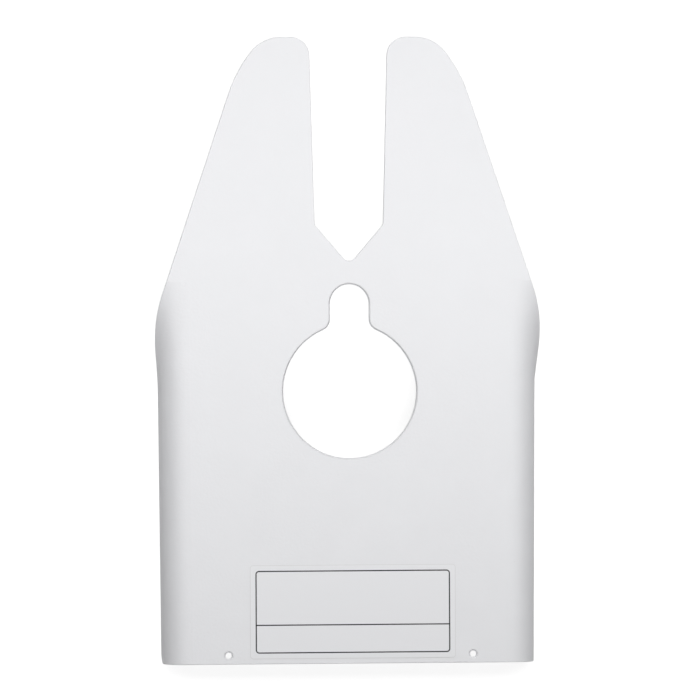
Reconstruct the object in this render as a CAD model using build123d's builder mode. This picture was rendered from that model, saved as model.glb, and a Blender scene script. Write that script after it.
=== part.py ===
"""Outboard hydrofoil: one formed and coated aluminium plate, with a clear label film on its tail.

The plate bolts on top of the anti-ventilation plate of an outboard motor. Its two arms reach
forward on either side of the motor's leg, and its sides are rolled down into wings.

Frame, in millimetres: +X to starboard, +Y forward along the arms, +Z up. The origin is under the
middle of the plate, level with the lower edges of the wings.
"""

from build123d import *

import os
from math import atan2, cos, degrees, hypot, isclose, pi, radians, sin, tan

# Sheet
sheet_thickness = 5.0
edge_radius = 0.9
opening_chamfer = 1.5

# Plan of the flat: its half width is taken at the root of the arms, and each side toes in from there
overall_length = 627.0
flat_half_width = 161.3
toe_in_at_tail = 3.1
arm_root_from_tip = 244.7
arm_root_overhang = 22.0

# Arms: the space between them is the slot for the motor's leg
arm_tip_width = 46.6
arm_shoulder_step = 26.8
arm_shoulder_drop = 34.0
tip_outer_radius = 38.0
tip_inner_radius = 19.0
straight_between_roundings = 0.5
slot_mouth_half_width = 39.2
slot_root_half_width = 34.3
slot_length = 188.1
notch_half_angle = 40.5
notch_corner_radius = 8.0
notch_tip_radius = 8.0

# Keyhole opening behind the notch
web_behind_notch = 19.4
neck_half_width = 19.4
neck_length = 40.2
neck_corner_radius = 12.0
opening_radius = 66.8

# Holes that the plate hangs by while it is coated
hanging_hole_radius = 3.2
hanging_hole_spacing = 245.4
hanging_hole_from_tail = 8.8

# Wings rolled down along both sides
wing_depth = 45.0
bend_outer_radius = 28.0
bend_angle = 85.0
wing_rear_corner_radius = 12.0
sweep_easing_length = 16.0
wall_beyond_rounding = 2.2
runout_sections = 12

# Label film
film_thickness = 0.2
film_width = 206.0
film_length = 93.5
film_corner_radius = 3.0
film_from_tail = 5.3
film_offset_x = 2.0

# Levels of the flat, and places along it
top_level = wing_depth
middle_level = top_level - sheet_thickness / 2
underside_level = top_level - sheet_thickness
tail_y = -overall_length / 2
tip_y = overall_length / 2
arm_root_y = tip_y - arm_root_from_tip
slot_root_y = tip_y - slot_length
notch_tip_y = slot_root_y - slot_root_half_width / tan(radians(notch_half_angle))
neck_tip_y = notch_tip_y - web_behind_notch
opening_y = neck_tip_y - neck_length - opening_radius
hanging_hole_y = tail_y + hanging_hole_from_tail
film_y = tail_y + film_from_tail + film_length / 2

# Bend line, where the starboard side starts to roll down: it runs aft from the root of the arm
bend_line_start = Vector(flat_half_width, arm_root_y)
bend_line_end = Vector(flat_half_width - toe_in_at_tail, tail_y)
bend_line = bend_line_end - bend_line_start
aft = bend_line.normalized()
outward = Vector(-aft.Y, aft.X)

# Outer edge of an arm: its shoulder is rounded as widely as the tip's own rounding leaves room for
tip_half_width = slot_mouth_half_width + arm_tip_width
shoulder = Vector(tip_half_width + arm_shoulder_step, tip_y - arm_shoulder_drop)
arm_root = bend_line_start + outward * arm_root_overhang
arm_edge = arm_root - shoulder
tip_turn = atan2(arm_shoulder_drop, arm_shoulder_step)
shoulder_turn = atan2(-arm_edge.Y, arm_edge.X) - tip_turn
shoulder_edge = hypot(arm_shoulder_step, arm_shoulder_drop) - straight_between_roundings
shoulder_radius = (shoulder_edge - tip_outer_radius * tan(tip_turn / 2)) / tan(shoulder_turn / 2)

# Strip of sheet that makes a wing, measured across it along the middle of the sheet
full_bend = radians(bend_angle)
bend_strip = (bend_outer_radius - sheet_thickness / 2) * full_bend
bend_drop = bend_outer_radius * (1 - cos(full_bend))
edge_rise = sheet_thickness * cos(full_bend) - edge_radius * (sin(full_bend) + cos(full_bend) - 1)
wall_strip = (wing_depth - bend_drop - edge_rise) / sin(full_bend)

# The wing's lower edge sweeps down on the line of the arm's edge, and eases into its full depth
sweep_slope = arm_edge.dot(outward) / arm_edge.dot(aft)
sweep_length = (bend_strip + wall_strip - arm_root_overhang) / sweep_slope
runout_length = sweep_length + sweep_easing_length / 2
first_wall_strip = edge_radius + wall_beyond_rounding
first_bend_strip = arm_root_overhang - first_wall_strip


def wing_plane(distance):
    """Upright plane square to the bend line, this far aft of the root of the arm."""
    return Plane(bend_line_start + aft * distance, x_dir=outward, z_dir=aft)


def wing_at(distance):
    """Bend angle, bend strip and wall strip of a wing, this far aft of the root of the arm."""
    made = sin(distance / runout_length * pi / 2)
    bent = first_bend_strip + (bend_strip - first_bend_strip) * made
    eased = max(distance - runout_length + sweep_easing_length, 0)
    strip = arm_root_overhang + sweep_slope * (distance - eased**2 / (2 * sweep_easing_length))
    return full_bend * made, bent, strip - bent


def rolled_face(offset, angle, bent, wall):
    """One face of a rolled side, this far above the middle of the sheet. Returns its two ends."""
    root = Vector(0, middle_level + offset)
    if angle == 0:
        bend = Bezier(root, root + Vector(bent / 2, 0), root + Vector(bent, 0))
    else:
        bend = JernArc(root, (1, 0), bent / angle + offset, -degrees(angle))
    edge = bend @ 1 + (bend % 1) * wall
    Line(bend @ 1, edge)
    return root, edge


def side_profile(angle, bent, wall):
    """Closed section of a rolled side: outer face, cut edge, inner face, and the root it grows from."""
    outer_root, outer_edge = rolled_face(sheet_thickness / 2, angle, bent, wall)
    inner_root, inner_edge = rolled_face(-sheet_thickness / 2, angle, bent, wall)
    Line(outer_edge, inner_edge)
    Line(inner_root, outer_root)


def corners_at(sketch, x, y):
    """Corners of a sketch at this place, on both sides of the middle."""
    on_both_sides = sketch.vertices().filter_by(lambda v: isclose(abs(v.X), x, abs_tol=0.001))
    return on_both_sides.filter_by(lambda v: isclose(v.Y, y, abs_tol=0.001))


def goes_through_sheet(edge):
    """True for an edge that runs straight through the sheet, from one face to the other."""
    return isclose(edge.length, sheet_thickness, abs_tol=0.001)


with BuildPart() as foil_plate:
    # Flat blank: tail, arms, slot for the leg, and notch
    with BuildSketch(Plane.XY.offset(underside_level)) as blank:
        with BuildLine():
            Polyline(
                (0, tail_y),
                bend_line_end,
                bend_line_start,
                arm_root,
                shoulder,
                (tip_half_width, tip_y),
                (slot_mouth_half_width, tip_y),
                (slot_root_half_width, slot_root_y),
                (0, notch_tip_y),
                close=True,
            )
        make_face()
        mirror(about=Plane.YZ)
        for corner_x, corner_y, radius in (
            (slot_mouth_half_width, tip_y, tip_inner_radius),
            (tip_half_width, tip_y, tip_outer_radius),
            (shoulder.X, shoulder.Y, shoulder_radius),
            (slot_root_half_width, slot_root_y, notch_corner_radius),
            (0, notch_tip_y, notch_tip_radius),
        ):
            fillet(corners_at(blank, corner_x, corner_y), radius)
    extrude(amount=sheet_thickness)

    # Front of the starboard wing: the bend runs out into the flat arm, and the edge sweeps down.
    # Its sections crowd towards the aft end, where the wing runs on straight.
    for index in range(runout_sections + 1):
        distance = runout_length * sin(index / runout_sections * pi / 2)
        with BuildSketch(wing_plane(distance)):
            with BuildLine():
                side_profile(*wing_at(distance))
            make_face()
    loft()

    # Rest of the wing, with one section all the way to the tail, and the port side to match
    with BuildSketch(wing_plane(runout_length)):
        with BuildLine():
            side_profile(full_bend, bend_strip, wall_strip)
        make_face()
    extrude(amount=bend_line.length - runout_length)
    mirror(about=Plane.YZ)

    # Lower rear corners of the wings
    wing_ends = foil_plate.faces().sort_by(Axis.Y)[:2]
    fillet([face.edges().sort_by(Axis.Z)[0] for face in wing_ends], wing_rear_corner_radius)

    # Every outside edge that was cut is rounded on both faces of the sheet, so that the coat holds
    cut_faces = foil_plate.faces().filter_by(lambda f: any(map(goes_through_sheet, f.edges())))
    rims = [edge for face in cut_faces for edge in face.edges() if not goes_through_sheet(edge)]
    fillet(rims, edge_radius)

    # Keyhole opening, with a neck that reaches towards the notch, and the hanging holes
    with BuildSketch(Plane.XY.offset(underside_level)) as openings:
        with Locations((0, opening_y)):
            Circle(opening_radius)
        with Locations((0, (opening_y + neck_tip_y) / 2)):
            SlotOverall(neck_tip_y - opening_y, 2 * neck_half_width, rotation=90)
        neck_corners = openings.vertices().group_by(Axis.Y)[-2]
        fillet(neck_corners, neck_corner_radius)
        with Locations((0, hanging_hole_y)):
            with GridLocations(hanging_hole_spacing, 1, 2, 1):
                Circle(hanging_hole_radius)
    extrude(amount=sheet_thickness, mode=Mode.SUBTRACT)
    opening_rims = foil_plate.edges(Select.LAST).filter_by(goes_through_sheet, reverse=True)
    chamfer(opening_rims, opening_chamfer)

with BuildPart() as label_film:
    with BuildSketch(Plane.XY.offset(top_level)):
        with Locations((film_offset_x, film_y)):
            RectangleRounded(film_width, film_length, film_corner_radius)
    extrude(amount=film_thickness)

foil_plate.part.label = "foil_plate"
label_film.part.label = "label_film"

os.makedirs("parts", exist_ok=True)
export_step(foil_plate.part, "parts/foil_plate.step")
export_step(label_film.part, "parts/label_film.step")
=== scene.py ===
"""Looks of the outboard hydrofoil: white powder coat, clear label film, and a plain white studio.

Everything is in metres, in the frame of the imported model: +X to starboard, +Y forward along the
arms, +Z up, with the lower edges of the wings at z = 0.
"""

import math

import bpy
from mathutils import Matrix, Vector


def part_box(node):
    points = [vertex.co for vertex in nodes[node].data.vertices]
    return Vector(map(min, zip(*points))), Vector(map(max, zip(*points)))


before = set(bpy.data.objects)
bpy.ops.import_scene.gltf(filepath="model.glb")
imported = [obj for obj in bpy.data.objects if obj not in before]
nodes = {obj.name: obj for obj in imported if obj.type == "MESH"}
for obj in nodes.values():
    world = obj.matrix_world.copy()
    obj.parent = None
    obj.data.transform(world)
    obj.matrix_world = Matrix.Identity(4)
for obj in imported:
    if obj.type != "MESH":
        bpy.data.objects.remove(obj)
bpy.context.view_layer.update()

# Camera: it looks down on the plate from a little to port. A pixel is a millimetre on the flat.
PICTURE_PIXELS = 700
METRES_PER_PIXEL = 0.001
PLATE_CENTRE_PIXEL = (349.6, 350.2)
CAMERA_DISTANCE = 7.0
LEAN_TO_PORT = math.radians(4.55)
ROLL = math.radians(-0.3)
SENSOR_WIDTH_MM = 36.0
CAMERA_REACH = 100.0

# Floor: pale under the lamps, with a glow that makes it white. The glow rises from one level to
# another between two distances from the plate's middle, and it is weaker in reflections.
FLOOR_SIDE = 60.0
FLOOR_DROP = 0.0002
FLOOR_COLOUR = (0.6, 0.6, 0.6)
FLOOR_GLOW = (0.72, 1.0)
FLOOR_GLOW_RISES = (0.6, 2.5)
FLOOR_GLOW_MIRRORED = 0.25

# Lights: softboxes over the arms, in front and behind, with their power in watts, and a dim
# world. The plate doesn't mirror the low front lamp, whose glare would burn out the flat in
# views from the tail.
WORLD_BRIGHTNESS = 0.004
LAMPS = {
    "softbox": {
        "size": (3.0, 0.5),
        "place": (0.0, 0.2, 1.0),
        "target": (0.0, 0.2, 0.0),
        "power": 11.8,
        "mirrored": True,
    },
    "front_lamp": {
        "size": (2.4, 0.6),
        "place": (0.0, 2.6, 1.2),
        "target": (0.0, 0.0, 0.0),
        "power": 37.5,
        "mirrored": False,
    },
    "rear_lamp": {
        "size": (2.4, 0.6),
        "place": (0.0, -1.8, 2.4),
        "target": (0.0, -0.2, 0.0),
        "power": 30.5,
        "mirrored": True,
    },
}

# Powder coat: satin white with a slow mottle, and orange peel and a finer grain in its surface
COAT_COLOUR = (0.846, 0.849, 0.868)
COAT_DARKEST_SHARE = 0.965
COAT_ROUGHNESS = (0.36, 0.48)
COAT_IOR = 1.5
MOTTLE_SIZE = 0.03
MOTTLE_DETAIL = 4.0
PEEL_SIZE = 0.0026
PEEL_DETAIL = 2.0
PEEL_DEPTH = 0.00014
GRAIN_SIZE = 0.0006
GRAIN_DETAIL = 1.0
GRAIN_DEPTH = 0.00002

# Wear on the coat: broad dull patches where the noise is high, and sparse specks of dirt
SCUFF_SIZE = 0.06
SCUFF_DETAIL = 6.0
SCUFF_NOISE = (0.45, 0.75)
SCUFF_ROUGHNESS = 0.05
SPECK_SPACING = 0.016
SPECK_RADIUS = 0.00028
SPECK_SHARE = 0.35
SPECK_COLOUR = (0.42, 0.41, 0.4)

# Rims, where the coat is greyer and duller. The turn is the cosine between the surface and a bevel
# of its edges: first where the grey starts, then where it is greyest.
RIM_REACH = 0.0012
RIM_TURN = (0.995, 0.93)
RIM_SAMPLES = 4
RIM_COLOUR = (0.76, 0.762, 0.772)
RIM_ROUGHNESS = 0.08

# Label film: smoother than the coat, a little wavy, with flat bubbles, and dust along its edge
FILM_COLOUR = (0.855, 0.858, 0.876)
FILM_ROUGHNESS = (0.26, 0.32)
FILM_IOR = 1.49
FILM_CORNER = 0.003
WAVE_SIZE = 0.011
WAVE_DETAIL = 2.0
WAVE_DEPTH = 0.00012
BUBBLE_SPACING = 0.019
BUBBLE_RADIUS = 0.0007
BUBBLE_SHARE = 0.25
BUBBLE_DEPTH = 0.00005
DUST_WIDTH = 0.0006
DUST_COLOUR = (0.66, 0.655, 0.65)

# Printed on the film: a plain ruled frame with rounded corners, and one rule across it
FRAME_INSET = 0.006
FRAME_CORNER = 0.003
RULE_WIDTH = 0.0012
CROSS_RULE_SHARE = 0.36
SOFT_EDGE = 0.00015
INK_COLOUR = (0.014, 0.014, 0.016)
INK_ADDED_ROUGHNESS = 0.02

# Modifiers that join the faces of a carried-over node, so that they shade as one surface
WELD_REACH = 0.00001
LARGE_FACES_LEAD = 100


def in_use(sockets, name):
    """The socket of this name that the node's settings leave in use."""
    return next(socket for socket in sockets if socket.name == name and socket.enabled)


class Finish:
    """A new material, and short ways to chain patterns into its shader."""

    def __init__(self, name):
        self.material = bpy.data.materials.new(name)
        self.material.use_nodes = True
        self.tree = self.material.node_tree
        self.shader = self.tree.nodes["Principled BSDF"]
        self.place = self.add("ShaderNodeTexCoord").outputs["Object"]

    def add(self, kind, inputs=(), **settings):
        """A new node. Each input is a number, a colour, or the output of another node."""
        node = self.tree.nodes.new(kind)
        for name, value in settings.items():
            setattr(node, name, value)
        for name, value in dict(inputs).items():
            self.feed(node.inputs[name], value)
        return node

    def feed(self, socket, value):
        """Sets an input, or links it to another node's output."""
        if isinstance(value, bpy.types.NodeSocket):
            self.tree.links.new(value, socket)
        elif socket.type == "RGBA":
            socket.default_value = (*value, 1)
        else:
            socket.default_value = value

    def shade(self, name, value):
        """Sets or links an input of the shader."""
        self.feed(self.shader.inputs[name], value)

    def math(self, operation, first, second=0.0):
        """The result of one piece of arithmetic."""
        node = self.add("ShaderNodeMath", {0: first, 1: second}, operation=operation)
        return node.outputs["Value"]

    def spread(self, value, to, over=(0.0, 1.0)):
        """One range of a value, mapped to another. Past its ends, the result stays the same."""
        inputs = {"Value": value, "From Min": over[0], "From Max": over[1]}
        node = self.add("ShaderNodeMapRange", {**inputs, "To Min": to[0], "To Max": to[1]})
        return node.outputs["Result"]

    def blend(self, share, first, second):
        """The first colour where the share is 0, and the second where it is 1."""
        node = self.add("ShaderNodeMix", data_type="RGBA")
        for name, value in (("Factor", share), ("A", first), ("B", second)):
            self.feed(in_use(node.inputs, name), value)
        return in_use(node.outputs, "Result")

    def bump(self, height, depth, below=None):
        """The surface raised by up to this depth, on top of another bump."""
        node = self.add("ShaderNodeBump", {"Height": height, "Distance": depth})
        if below is not None:
            self.feed(node.inputs["Normal"], below)
        return node.outputs["Normal"]

    def noise(self, size, detail):
        """Noise from 0 to 1, whose features are about this large."""
        inputs = {"Vector": self.place, "Scale": 1 / size, "Detail": detail}
        return self.add("ShaderNodeTexNoise", inputs).outputs["Fac"]

    def spots(self, spacing, radius, share):
        """1 at the middle of round spots, 0 away from them. A share of the places has one."""
        inputs = {"Vector": self.place, "Scale": 1 / spacing}
        cells = self.add("ShaderNodeTexVoronoi", inputs).outputs
        pick = self.add("ShaderNodeSeparateColor", {"Color": cells["Color"]}).outputs["Red"]
        chosen = self.math("LESS_THAN", pick, share)
        spot = self.spread(cells["Distance"], to=(1.0, 0.0), over=(0.0, radius / spacing))
        return self.math("MULTIPLY", chosen, spot)

    def rims(self):
        """0 on open faces, rising to 1 where the surface turns sharply close by."""
        bevel = self.add("ShaderNodeBevel", {"Radius": RIM_REACH}, samples=RIM_SAMPLES)
        surface = self.add("ShaderNodeNewGeometry")
        normals = {0: bevel.outputs["Normal"], 1: surface.outputs["Normal"]}
        turn = self.add("ShaderNodeVectorMath", normals, operation="DOT_PRODUCT")
        return self.spread(turn.outputs["Value"], to=(0.0, 1.0), over=RIM_TURN)


def powder_coat():
    """Satin white powder coat with dull patches and specks, greyer and duller on the rims."""
    coat = Finish("powder_coat_white")
    coat.shade("IOR", COAT_IOR)
    rims = coat.rims()

    darkest = [value * COAT_DARKEST_SHARE for value in COAT_COLOUR]
    mottled = coat.blend(coat.noise(MOTTLE_SIZE, MOTTLE_DETAIL), darkest, COAT_COLOUR)
    specks = coat.spots(SPECK_SPACING, SPECK_RADIUS, SPECK_SHARE)
    speckled = coat.blend(specks, mottled, SPECK_COLOUR)
    coat.shade("Base Color", coat.blend(rims, speckled, RIM_COLOUR))

    peel = coat.noise(PEEL_SIZE, PEEL_DETAIL)
    grain = coat.noise(GRAIN_SIZE, GRAIN_DETAIL)
    coat.shade("Normal", coat.bump(grain, GRAIN_DEPTH, below=coat.bump(peel, PEEL_DEPTH)))

    satin = coat.spread(peel, to=COAT_ROUGHNESS)
    patches = coat.noise(SCUFF_SIZE, SCUFF_DETAIL)
    scuffs = coat.spread(patches, to=(0.0, SCUFF_ROUGHNESS), over=SCUFF_NOISE)
    dull_rims = coat.math("MULTIPLY", rims, RIM_ROUGHNESS)
    coat.shade("Roughness", coat.math("ADD", satin, coat.math("ADD", scuffs, dull_rims)))
    return coat.material


def distance_inside(finish, low, high, corner):
    """How far a point lies inside the rounded rectangle between two corners, negative outside."""
    place = finish.add("ShaderNodeSeparateXYZ", {"Vector": finish.place}).outputs
    past_sides = []
    for axis in (0, 1):
        middle = (low[axis] + high[axis]) / 2
        straight_half = (high[axis] - low[axis]) / 2 - corner
        away = finish.math("ABSOLUTE", finish.math("SUBTRACT", place[axis], middle))
        past_sides.append(finish.math("SUBTRACT", away, straight_half))
    squares = [finish.math("POWER", finish.math("MAXIMUM", past, 0.0), 2.0) for past in past_sides]
    round_part = finish.math("SQRT", finish.math("ADD", *squares))
    flat_part = finish.math("MINIMUM", finish.math("MAXIMUM", *past_sides), 0.0)
    return finish.math("SUBTRACT", corner, finish.math("ADD", round_part, flat_part))


def rule_at(finish, distance, place):
    """1 on a printed rule where the distance reaches the place, 0 beside it."""
    away = finish.math("ABSOLUTE", finish.math("SUBTRACT", distance, place))
    edge = (RULE_WIDTH / 2 - SOFT_EDGE, RULE_WIDTH / 2 + SOFT_EDGE)
    return finish.spread(away, to=(1.0, 0.0), over=edge)


def ruled_frame(film, low, high):
    """1 on the ink of the ruled frame and its cross rule, 0 elsewhere."""
    inset = Vector((FRAME_INSET, FRAME_INSET, 0.0))
    inside = distance_inside(film, low + inset, high - inset, FRAME_CORNER)
    along = film.add("ShaderNodeSeparateXYZ", {"Vector": film.place}).outputs["Y"]
    across_all = rule_at(film, along, low.y + (high.y - low.y) * CROSS_RULE_SHARE)
    cross_rule = film.math("MULTIPLY", across_all, film.math("GREATER_THAN", inside, 0.0))
    return film.math("MAXIMUM", rule_at(film, inside, 0.0), cross_rule)


def clear_film(low, high):
    """Clear label film in the colour of the coat under it, with a ruled frame printed on it."""
    film = Finish("clear_film_gloss")
    film.shade("IOR", FILM_IOR)
    ink = ruled_frame(film, low, high)

    inside = distance_inside(film, low, high, FILM_CORNER)
    dust = film.spread(inside, to=(1.0, 0.0), over=(0.0, DUST_WIDTH))
    dusty = film.blend(dust, FILM_COLOUR, DUST_COLOUR)
    film.shade("Base Color", film.blend(ink, dusty, INK_COLOUR))

    waves = film.bump(film.noise(WAVE_SIZE, WAVE_DETAIL), WAVE_DEPTH)
    bubbles = film.spots(BUBBLE_SPACING, BUBBLE_RADIUS, BUBBLE_SHARE)
    film.shade("Normal", film.bump(bubbles, BUBBLE_DEPTH, below=waves))

    gloss = film.spread(film.noise(PEEL_SIZE, PEEL_DETAIL), to=FILM_ROUGHNESS)
    printed = film.math("MULTIPLY", ink, INK_ADDED_ROUGHNESS)
    film.shade("Roughness", film.math("ADD", gloss, printed))
    return film.material


def finish_node(node, material):
    """Gives a carried-over node its finish, and lets its faces shade as one surface."""
    node.data.materials.clear()
    node.data.materials.append(material)
    joined = node.modifiers.new("join_faces", "WELD")
    joined.merge_threshold = WELD_REACH
    shading = node.modifiers.new("face_normals", "WEIGHTED_NORMAL")
    shading.keep_sharp = True
    shading.weight = LARGE_FACES_LEAD


def floor_white():
    """White by the lamps and by a glow of its own, which leaves a faint shadow of the plate.

    The glow is stronger far out, where less of the lamps' light falls. It is weaker in reflections,
    because the bent sides mirror the strip of floor beside them, which lies in the plate's shadow.
    """
    white = Finish("studio_white")
    from_plate = white.add("ShaderNodeVectorMath", {0: white.place}, operation="LENGTH")
    level = white.spread(from_plate.outputs["Value"], to=FLOOR_GLOW, over=FLOOR_GLOW_RISES)
    path = white.add("ShaderNodeLightPath").outputs
    seen = white.math("MULTIPLY", path["Is Camera Ray"], level)
    bounced = white.math("MAXIMUM", path["Is Glossy Ray"], path["Is Transmission Ray"])
    mirrored = white.math("MULTIPLY", bounced, FLOOR_GLOW_MIRRORED)
    glow = white.add("ShaderNodeEmission", {"Strength": white.math("MAXIMUM", seen, mirrored)})
    paper = white.add("ShaderNodeBsdfDiffuse", {"Color": FLOOR_COLOUR})
    both = white.add("ShaderNodeAddShader", {0: paper.outputs["BSDF"], 1: glow.outputs["Emission"]})
    white.feed(white.tree.nodes["Material Output"].inputs["Surface"], both.outputs["Shader"])
    white.tree.nodes.remove(white.shader)
    return white.material


def studio_floor():
    """A wide floor, a hair below the lower edges of the wings."""
    half = FLOOR_SIDE / 2
    corners = [(-half, -half, 0), (half, -half, 0), (half, half, 0), (-half, half, 0)]
    mesh = bpy.data.meshes.new("studio_floor")
    mesh.from_pydata(corners, [], [(0, 1, 2, 3)])
    mesh.materials.append(floor_white())
    floor = bpy.data.objects.new("studio_floor", mesh)
    floor.location.z = -FLOOR_DROP
    bpy.context.scene.collection.objects.link(floor)


def studio_world():
    """A white world, even all round and almost dark: the lamps light the plate."""
    world = bpy.data.worlds.new("studio_world")
    world.use_nodes = True
    background = world.node_tree.nodes["Background"].inputs
    background["Color"].default_value = (1, 1, 1, 1)
    background["Strength"].default_value = WORLD_BRIGHTNESS
    bpy.context.scene.world = world


def aim(thing, place, target, roll=0.0):
    """Puts a lamp or camera at a place, aims it with +Y up in its view, and rolls it."""
    back = (Vector(place) - Vector(target)).normalized()
    right = Vector((0, 1, 0)).cross(back).normalized()
    up = back.cross(right)
    turned = Matrix((right, up, back)).transposed() @ Matrix.Rotation(roll, 3, "Z")
    thing.matrix_world = Matrix.Translation(place) @ turned.to_4x4()


def area_lamp(name, size, place, target, power, mirrored):
    """A rectangular softbox that the camera doesn't see. The plate may mirror it."""
    light = bpy.data.lights.new(name, "AREA")
    light.shape = "RECTANGLE"
    light.size, light.size_y = size
    light.energy = power
    lamp = bpy.data.objects.new(name, light)
    lamp.visible_camera = False
    lamp.visible_glossy = mirrored
    bpy.context.scene.collection.objects.link(lamp)
    aim(lamp, place, target)


def photograph_camera(low, high):
    """The photograph's view: down on the plate's top, with its middle at the same pixel."""
    data = bpy.data.cameras.new("camera")
    data.sensor_width = SENSOR_WIDTH_MM
    data.lens = SENSOR_WIDTH_MM * CAMERA_DISTANCE / (PICTURE_PIXELS * METRES_PER_PIXEL)
    data.clip_end = CAMERA_REACH

    plate_x, plate_y = PLATE_CENTRE_PIXEL
    to_the_right = (PICTURE_PIXELS / 2 - plate_x) * METRES_PER_PIXEL
    upwards = (plate_y - PICTURE_PIXELS / 2) * METRES_PER_PIXEL
    middle = (low + high) / 2
    target = Vector((middle.x + to_the_right, middle.y + upwards, high.z))
    direction = Vector((-math.sin(LEAN_TO_PORT), 0, 1)).normalized()

    camera = bpy.data.objects.new("camera", data)
    bpy.context.scene.collection.objects.link(camera)
    bpy.context.scene.camera = camera
    aim(camera, target + direction * CAMERA_DISTANCE, target, ROLL)


finish_node(nodes["foil_plate"], powder_coat())
finish_node(nodes["label_film"], clear_film(*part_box("label_film")))

studio_floor()
studio_world()
for name, settings in LAMPS.items():
    area_lamp(name, **settings)
photograph_camera(*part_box("foil_plate"))
bpy.context.scene.view_settings.view_transform = "Standard"
